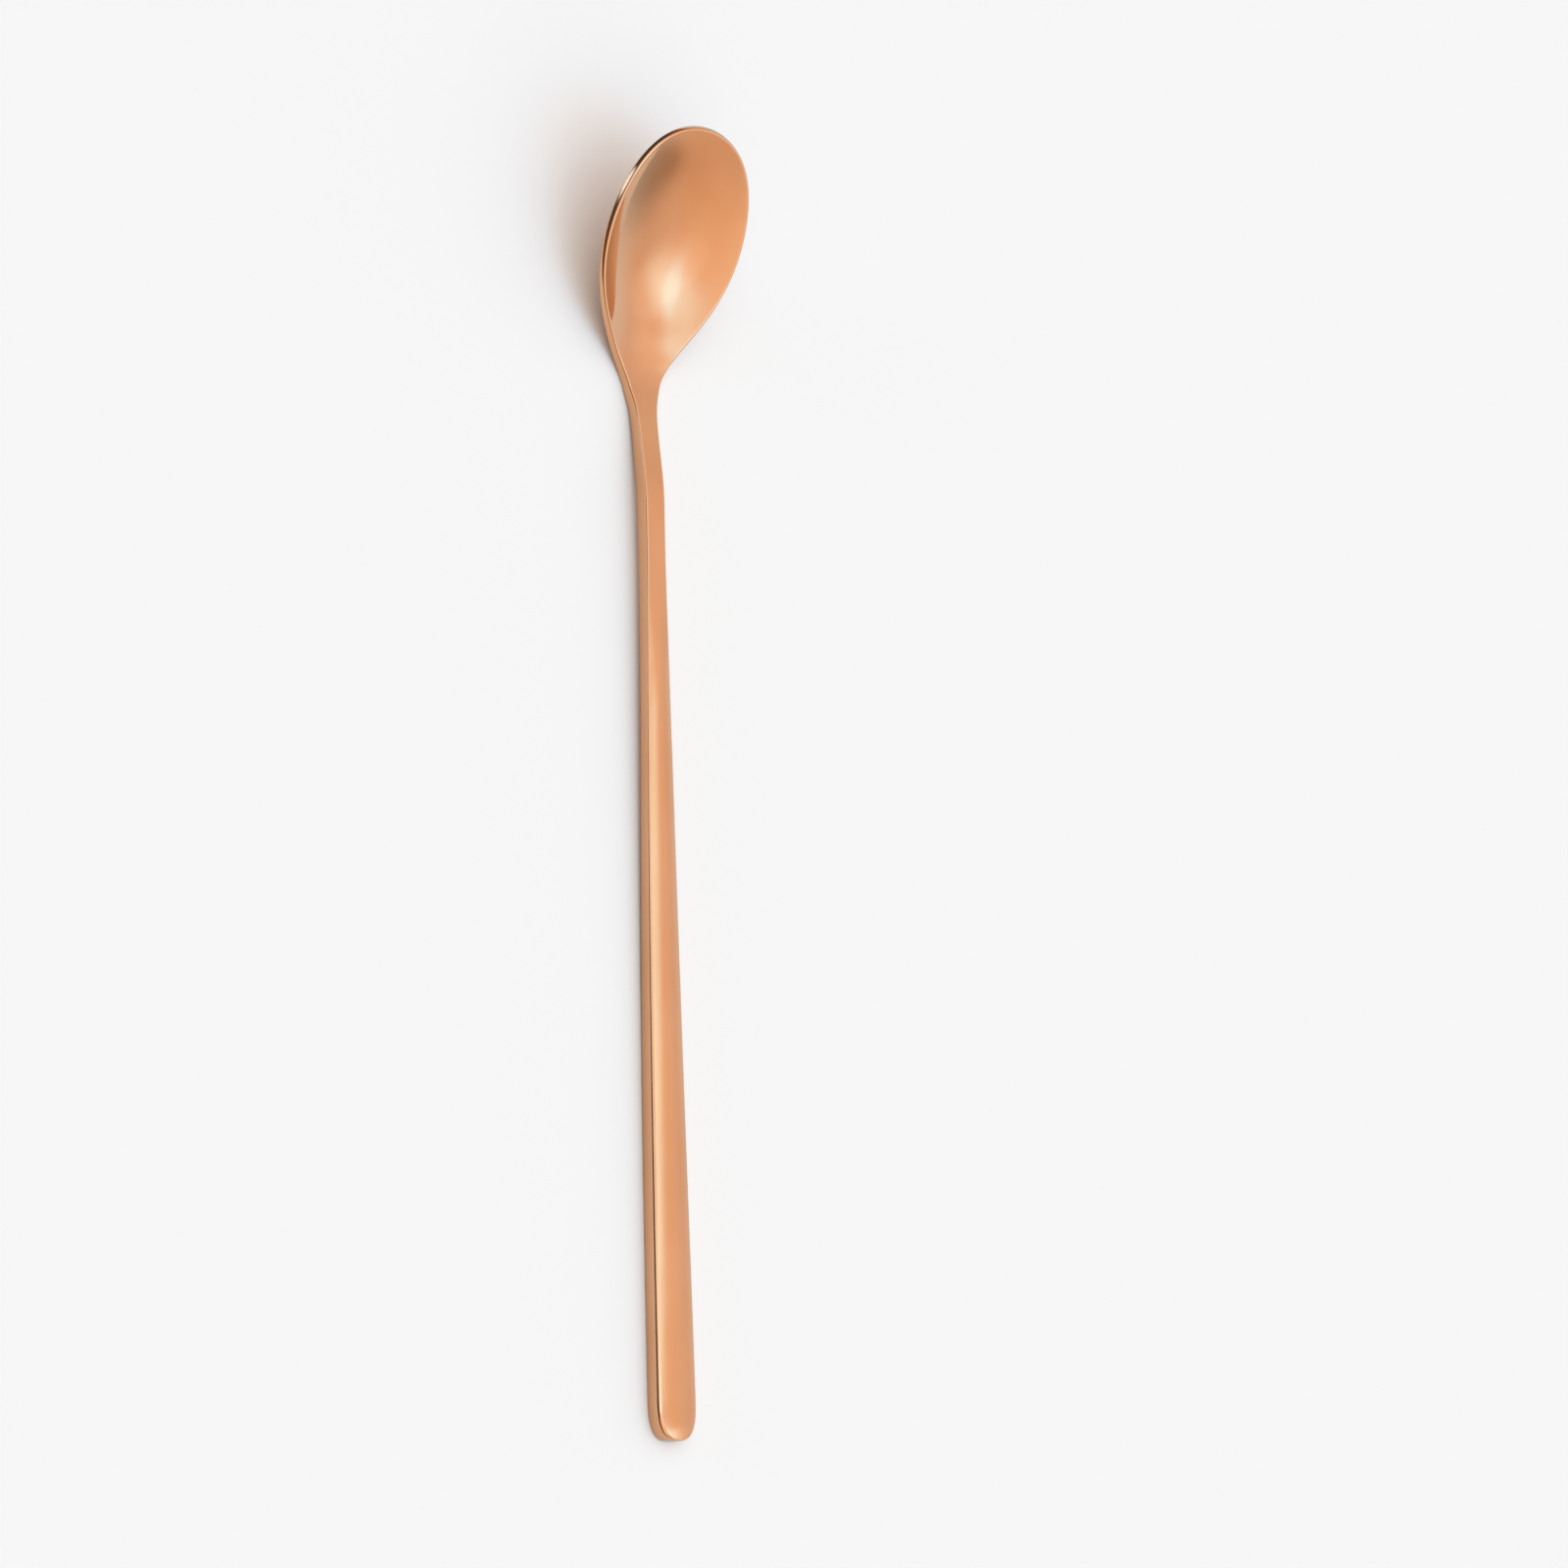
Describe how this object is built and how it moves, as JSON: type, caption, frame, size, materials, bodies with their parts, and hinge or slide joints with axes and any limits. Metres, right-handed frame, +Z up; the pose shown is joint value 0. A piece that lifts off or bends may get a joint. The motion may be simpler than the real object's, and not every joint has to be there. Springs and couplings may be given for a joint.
{
  "type": "cocktail spoon",
  "caption": "Long-handled cocktail spoon with an egg-shaped bowl tilted up from the heel and a flat bar handle that widens to a rounded end.",
  "frame": {"origin": "centre of the spoon's footprint, on the plane it lies on", "axes": "+Y along the spoon from the handle's end to the bowl's tip, +Z up out of the bowl, +X across"},
  "size_m": [0.0268, 0.2006, 0.0177],
  "materials": {
    "bowl_metal": "mirror-polished rose-gold plating on steel",
    "handle_metal": "polished rose-gold plating on steel"
  },
  "bodies": {
    "root": {"bowl": "bowl_metal", "handle": "handle_metal"}
  },
  "joints": []
}
